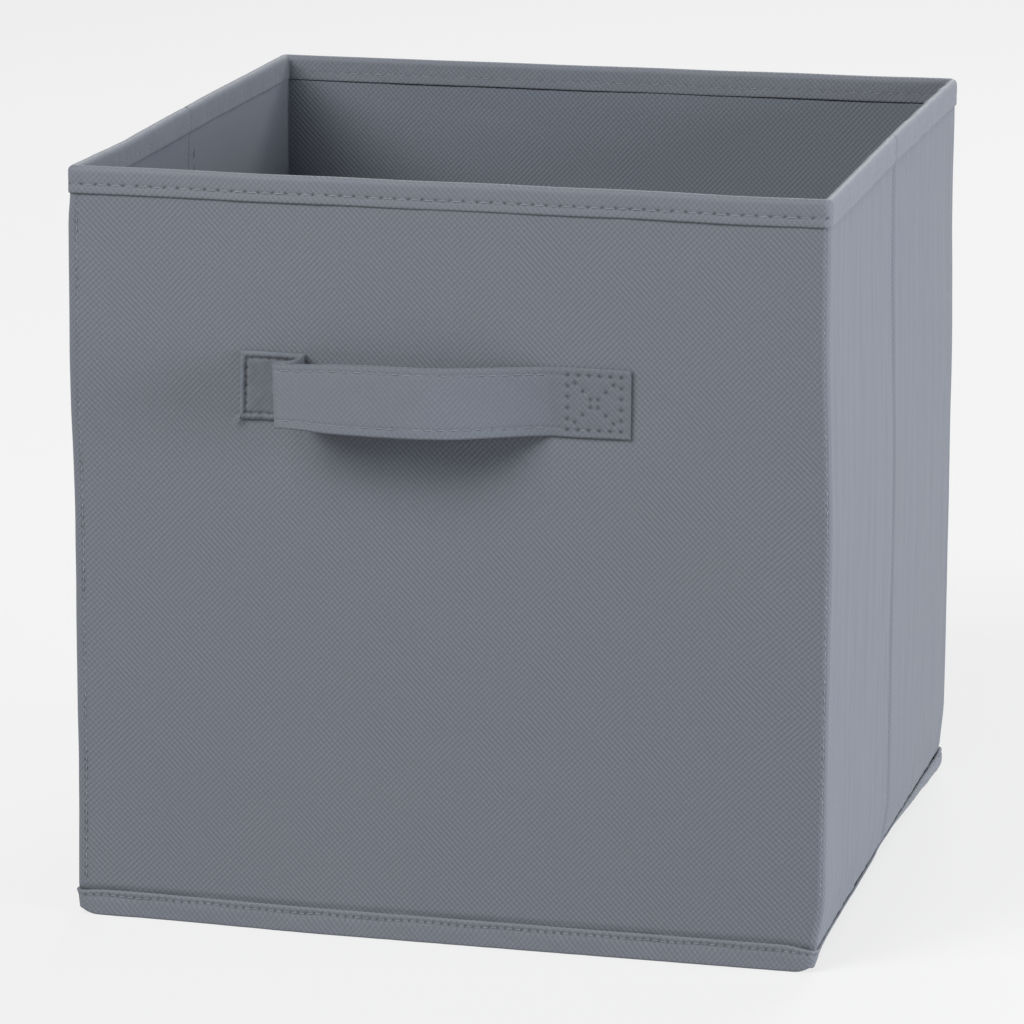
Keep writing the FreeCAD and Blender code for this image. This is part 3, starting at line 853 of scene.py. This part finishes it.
TAB_LOW, TAB_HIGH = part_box("handle_left_tab")
END_LOW, END_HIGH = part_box("handle_right_tab")
STRAP = END_HIGH.y - END_LOW.y  # thickness of the strap
STRAP_LOW, STRAP_HIGH = END_LOW.z, END_HIGH.z
STRAP_WIDTH = STRAP_HIGH - STRAP_LOW
GRIP_TOP, GRIP_BOTTOM = 14.5 * MM, 21.0 * MM  # how far the free strap stands off, at each edge
GRIP_DRAW = 0.6 * MM  # its lower edge is drawn up a little
FOLD_BULGE = 5.7 * MM  # the fold by the left tab sticks out sideways
FOLD_SKEW = 2.6 * MM  # less so at its lower edge
FOLD_TAPER = (1.3 * MM, 1.1 * MM)  # the fold is narrower by this much, below and above
FOLD_START = 0.88  # how far out it has come where it folds back on itself
LEVEL_END, LANDING = -11.0 * MM, 39.0 * MM  # where it starts to come in, and where it lies flat
TOP_ROW, LOW_ROW = 2.6 * MM, 3.3 * MM  # the strap's edge stitching, from its edges
EDGE_ROWS = (LOW_ROW, STRAP_WIDTH - TOP_ROW)
FOLD_RUN = 17.0 * MM  # the edge stitching starts this far along, past the fold
TACK_PITCH = 3.8 * MM
TACK_BOX = 19.5 * MM
TACK_LEFT = END_LOW.x + 0.6 * MM


def strap_middle(x, off, up):
    """A point of the strap's middle: at x, come off the wall by a share off, and up its width."""
    share = up / STRAP_WIDTH
    reach = GRIP_BOTTOM + (GRIP_TOP - GRIP_BOTTOM) * share
    fold = off * off * bell(x - (TAB_HIGH.x - FOLD_BULGE), 16 * MM)
    below, above = FOLD_TAPER
    rise = GRIP_DRAW * off * (1 - share) + fold * (below * (1 - share) - above * share)
    skew = FOLD_SKEW * fold * (1 - share)
    return Vector((x + skew, -HALF - STRAP / 2 - off * reach, STRAP_LOW + up + rise))


def strap_path():
    """Stops along the strap: x and how far it has come off the wall (0 to 1)."""
    edge = TAB_HIGH.x - FOLD_BULGE
    stops = []
    for i in range(13):
        share = i / 12
        stops.append((TAB_HIGH.x + 0.9 * MM * math.sin(math.pi * share) - FOLD_BULGE * share ** 3,
                      FOLD_START * math.sin(math.pi / 2 * share)))
    middle = (1 + FOLD_START) / 2
    for i in range(1, 9):
        angle = math.pi * i / 9
        stops.append((edge - 0.8 * MM * math.sin(angle), middle - (1 - FOLD_START) / 2 * math.cos(angle)))
    stops += [(x, 1.0) for x in steps(edge, LEVEL_END, 1.2 * MM)]
    for x in steps(LEVEL_END, LANDING, 1.2 * MM)[1:]:
        share = (x - LEVEL_END) / (LANDING - LEVEL_END)
        stops.append((x, max(0.0, math.cos(share * math.pi / 2)) ** 1.25))
    stops += [(x, 0.0) for x in steps(LANDING, END_HIGH.x, 0.6 * MM)[1:]]
    return stops


def tack_rows():
    """The box and cross that hold the right end down, as needle holes in x and height."""
    left, right = TACK_LEFT, TACK_LEFT + TACK_BOX
    low, high = STRAP_LOW + 2.7 * MM, STRAP_HIGH - 2.6 * MM
    corners = [(left, low), (left, high), (right, high), (right, low), (left, low)]
    lines = list(zip(corners, corners[1:])) + [((left, low), (right, high)), ((left, high), (right, low))]
    rows = []
    for (x0, z0), (x1, z1) in lines:
        count = round(math.hypot(x1 - x0, z1 - z0) / TACK_PITCH)
        rows.append([(x0 + (x1 - x0) * k / count, z0 + (z1 - z0) * k / count) for k in range(count + 1)])
    return rows


def strap_section():
    """Round the strap: height up its width, distance from its middle, and whether on its outer face."""
    levels = graded(0.5 * MM, 1.6 * MM, 4.4 * MM, 20.6 * MM, 24.0 * MM, STRAP_WIDTH - 0.5 * MM,
                    pitches=(0.5 * MM, 0.3 * MM, 0.65 * MM, 0.3 * MM, 0.6 * MM))
    half = STRAP / 2
    section = [(up, half, True) for up in levels]
    section += [(STRAP_WIDTH, 0.5 * half, False), (STRAP_WIDTH, -0.5 * half, False)]
    section += [(up, -half, False) for up in reversed(levels[::3])]
    return section + [(0.0, -0.5 * half, False), (0.0, 0.5 * half, False)]


def make_strap():
    stops, section = strap_path(), strap_section()
    tacks = [hole_shade for row in tack_rows() for hole_shade in row]
    middle = [Vector((x, -off * GRIP_BOTTOM, 0)) for x, off in stops]
    length = [0.0]
    for before, after in zip(middle, middle[1:]):
        length.append(length[-1] + (after - before).length)
    vertices, flat, marks = [], [], []
    for i, ((x, off), run) in enumerate(zip(stops, length)):
        along = (middle[min(i + 1, len(middle) - 1)] - middle[max(i - 1, 0)]).normalized()
        normal = Vector((along.y, -along.x, 0))
        wave = 0.25 * MM * unevenness(Vector((run, 0, 0)), 16 * MM, 52.0)
        for up, out, face in section:
            place = strap_middle(x, off, up)
            hole_shade = 0.0
            if face and x > END_LOW.x - 1 * MM and off == 0.0:
                near = min(math.hypot(x - a, place.z - b) for a, b in tacks)
                # painted shade in the needle holes of the tack stitching, which are also pressed in
                hole_shade = bell(near, 0.62 * MM)
                out -= 0.45 * MM * hole_shade + 0.16 * MM * bell(near, 1.6 * MM)
            elif face:
                dip = max(bell(up - row, 0.6 * MM) for row in EDGE_ROWS)
                out -= 0.20 * MM * dip * (0.75 + 0.25 * math.cos(2 * math.pi * run / RIM_PITCH))
            if face:
                out += 0.14 * MM * unevenness(Vector((run, up, 0)), 9 * MM, 51.0)
            vertices.append(place + normal * out + Vector((0, 0, wave * (2 * up / STRAP_WIDTH - 1))))
            flat.append((run, up + (0 if face else 30 * MM)))
            marks.append(hole_shade)
    faces = grid_faces(len(stops), len(section), closed=True)
    last = (len(stops) - 1) * len(section)
    faces += [tuple(range(len(section)))[::-1], tuple(last + k for k in range(len(section)))]
    faces = [face[::-1] for face in faces]
    strap = mesh_object("handle_strap_cloth", vertices, faces, flat, marks)
    nodes = ["handle_strap", "handle_left_bend", "handle_right_bend", "handle_right_tab"]
    settle(strap, "strap", GRIP, nodes)
    make_strap_stitches(stops, length)


def on_strap(stops, length, run, up, lift):
    """A point on the strap's outer face, that far along it, and its outward normal."""
    i = next((k for k in range(1, len(length) - 1) if length[k] >= run), len(length) - 1)
    (x0, off0), (x1, off1) = stops[i - 1], stops[i]
    share = (run - length[i - 1]) / (length[i] - length[i - 1])
    x, off = x0 + (x1 - x0) * share, off0 + (off1 - off0) * share
    reach = GRIP_BOTTOM + (GRIP_TOP - GRIP_BOTTOM) * up / STRAP_WIDTH
    along = Vector((x1 - x0, -(off1 - off0) * reach, 0)).normalized()
    normal = Vector((along.y, -along.x, 0))
    return strap_middle(x, off, up) + normal * (STRAP / 2 + lift), normal


def make_strap_stitches(stops, length):
    pitch = RIM_PITCH * 0.9
    count = int((length[-1] - FOLD_RUN - TACK_BOX - 6 * MM) / pitch)
    rows = []
    for up in EDGE_ROWS:
        holes = [on_strap(stops, length, FOLD_RUN + k * pitch, up, -0.14 * MM) for k in range(count)]
        rows += stitch_run(holes, 0.05 * MM)
    settle(gather("handle_edge_stitches", rows), "thread", GRIP)
    tacks = []
    for row in tack_rows():
        holes = [(Vector((x, -HALF - STRAP + 0.16 * MM, z)), Vector((0, -1, 0))) for x, z in row]
        tacks += stitch_run(holes, -0.16 * MM, 0.18 * MM)
    settle(gather("handle_tack_stitches", tacks), "thread", FRONT, ["handle_tab_thread"])


def tab_rise(x, z, inset, border):
    """How far the left tab stands off the cover, inset from its nearest free edge."""
    rise = STRAP + 0.25 * MM * bell(inset - 1.3 * MM, 0.9 * MM) - 0.5 * MM * smooth(1 - inset / (0.7 * MM))
    rise -= 0.55 * MM * bell(inset - border, 0.5 * MM) + 0.2 * MM * smooth((inset - border) / (0.8 * MM))
    return rise + 0.3 * MM * unevenness(Vector((x, z, 0)), 4 * MM, 61.0)


def make_left_tab():
    """The strap's left end, folded under and sewn down inside its border."""
    low_x, high_x = TAB_LOW.x, TAB_HIGH.x + 0.5 * MM
    columns, rows = steps(low_x, high_x, 0.45 * MM), steps(TAB_LOW.z, TAB_HIGH.z, 0.45 * MM)
    border, stitch = 2.4 * MM, TACK_PITCH * 0.85
    vertices, flat, marks = [], [], []
    for x in columns:
        wave = 0.6 * MM * unevenness(Vector((x, 0, 0)), 12 * MM, 62.0)
        for z in rows:
            inset = min(x - low_x, z - TAB_LOW.z, TAB_HIGH.z - z)
            run = z if x - low_x < border * 1.3 else x
            hole_shade = bell(math.hypot((run / stitch - round(run / stitch)) * stitch, inset - border), 0.5 * MM)
            skew = 0.5 * MM * smooth((z - TAB_LOW.z) / (TAB_HIGH.z - TAB_LOW.z))
            vertices.append(Vector((x + skew, -HALF - tab_rise(x, z, inset, border), z + wave)))
            flat.append((x, z))
            # painted shade: the needle holes and the groove along the stitched border are darkened
            marks.append(min(1.0, 0.8 * hole_shade + 0.35 * bell(inset - border, 0.45 * MM)))
    tab = mesh_object("handle_left_tab_cloth", vertices, grid_faces(len(columns), len(rows)), flat, marks)
    thicken(tab, STRAP, -1)
    settle(tab, "strap", FRONT, ["handle_left_tab"])


def make_thread_tail():
    """Loose ends of thread at the left tab's lower corner, each with a direction and a reach."""
    start = Vector((TAB_LOW.x + 0.8 * MM, -HALF - STRAP - 0.3 * MM, TAB_LOW.z + 1.5 * MM))
    parts = []
    for degrees, reach in ((200, 3.4 * MM), (232, 2.2 * MM), (168, 2.6 * MM), (215, 4.2 * MM)):
        turn = math.radians(degrees)
        side = Vector((math.cos(turn), -0.15, math.sin(turn))) * reach
        shares = (0, 0.3, 0.6, 0.85, 1.0)
        parts.append(tube([start + side * k + Vector((0, 0, -1.2 * MM * k * k)) for k in shares], 0.14 * MM))
    settle(gather("handle_thread_tail", parts), "thread", FRONT)


# ---- floor, light and camera

FLOOR_REACH = 12.0
FLOOR_TONE, FLOOR_GLOW = 0.06, 0.75
WORLD_LIGHT = 0.12
DAYLIGHT, COOL = (1.0, 1.0, 1.0), (0.92, 0.955, 1.0)
SOFTBOXES = (  # place, size, watts and colour
    ("top_softbox", (-0.7, -1.9, 2.4), (1.6, 1.2), 66.0, DAYLIGHT),
    ("key_softbox", (-1.8, -2.0, 1.9), (1.7, 1.4), 144.0, DAYLIGHT),
    ("rim_softbox", (0.3, 2.4, 2.2), (1.6, 1.0), 100.0, DAYLIGHT),
    ("right_softbox", (2.8, -0.4, 0.5), (2.0, 1.0), 204.0, COOL),
)
FOCAL, SENSOR = 187.8, 36.0  # millimetres
CAMERA_TURN, CAMERA_RISE, CAMERA_ROLL = 13.591, 13.371, 0.260  # degrees
CAMERA_REACH, CAMERA_RIGHT, CAMERA_UP = 2.0425, -0.008087, -0.010680
CENTRE = Vector((0, 0, HEIGHT / 2))


def make_floor():
    reach = FLOOR_REACH
    corners = [(-reach, -reach, 0.0), (reach, -reach, 0.0), (reach, reach, 0.0), (-reach, reach, 0.0)]
    floor = mesh_object("floor", corners, [(0, 1, 2, 3)])
    make = Recipe("floor")
    tone = (FLOOR_TONE, FLOOR_TONE, FLOOR_TONE)
    make.give(make.shader, {"Base Color": tone, "Roughness": 0.9, "Specular IOR Level": 0.1})
    make.give(make.shader, {"Emission Color": DAYLIGHT, "Emission Strength": FLOOR_GLOW})
    floor.data.materials.append(make.material)


def make_light():
    scene = bpy.context.scene
    scene.world = scene.world or bpy.data.worlds.new("studio")
    scene.world.use_nodes = True
    background = scene.world.node_tree.nodes["Background"]
    background.inputs["Color"].default_value = (*DAYLIGHT, 1.0)
    background.inputs["Strength"].default_value = WORLD_LIGHT
    for name, place, size, watts, colour in SOFTBOXES:
        light = bpy.data.lights.new(name, "AREA")
        light.shape, light.size, light.size_y = "RECTANGLE", *size
        light.energy, light.color = watts, colour
        lamp = bpy.data.objects.new(name, light)
        lamp.location = place
        lamp.rotation_mode = "QUATERNION"
        lamp.rotation_quaternion = (CENTRE - Vector(place)).to_track_quat("-Z", "Y")
        scene.collection.objects.link(lamp)
    scene.view_settings.view_transform = "Standard"


def make_camera():
    turn, rise, roll = (math.radians(a) for a in (CAMERA_TURN, CAMERA_RISE, CAMERA_ROLL))
    back = Vector((math.sin(turn) * math.cos(rise), -math.cos(turn) * math.cos(rise), math.sin(rise)))
    right = Vector((math.cos(turn), math.sin(turn), 0))
    up = back.cross(right)
    place = CENTRE + back * CAMERA_REACH + right * CAMERA_RIGHT + up * CAMERA_UP
    right, up = right * math.cos(roll) + up * math.sin(roll), up * math.cos(roll) - right * math.sin(roll)
    data = bpy.data.cameras.new("camera")
    data.lens, data.sensor_width = FOCAL, SENSOR
    data.clip_start, data.clip_end = 0.05, 60.0
    camera = bpy.data.objects.new("camera", data)
    camera.matrix_world = Matrix((right, up, back)).transposed().to_4x4()
    camera.location = place
    bpy.context.scene.collection.objects.link(camera)
    bpy.context.scene.camera = camera


make_covers()
make_linings()
make_cards()
make_binding()
make_seams()
make_foot()
make_board()
make_strap()
make_left_tab()
make_thread_tail()
make_floor()
make_light()
make_camera()
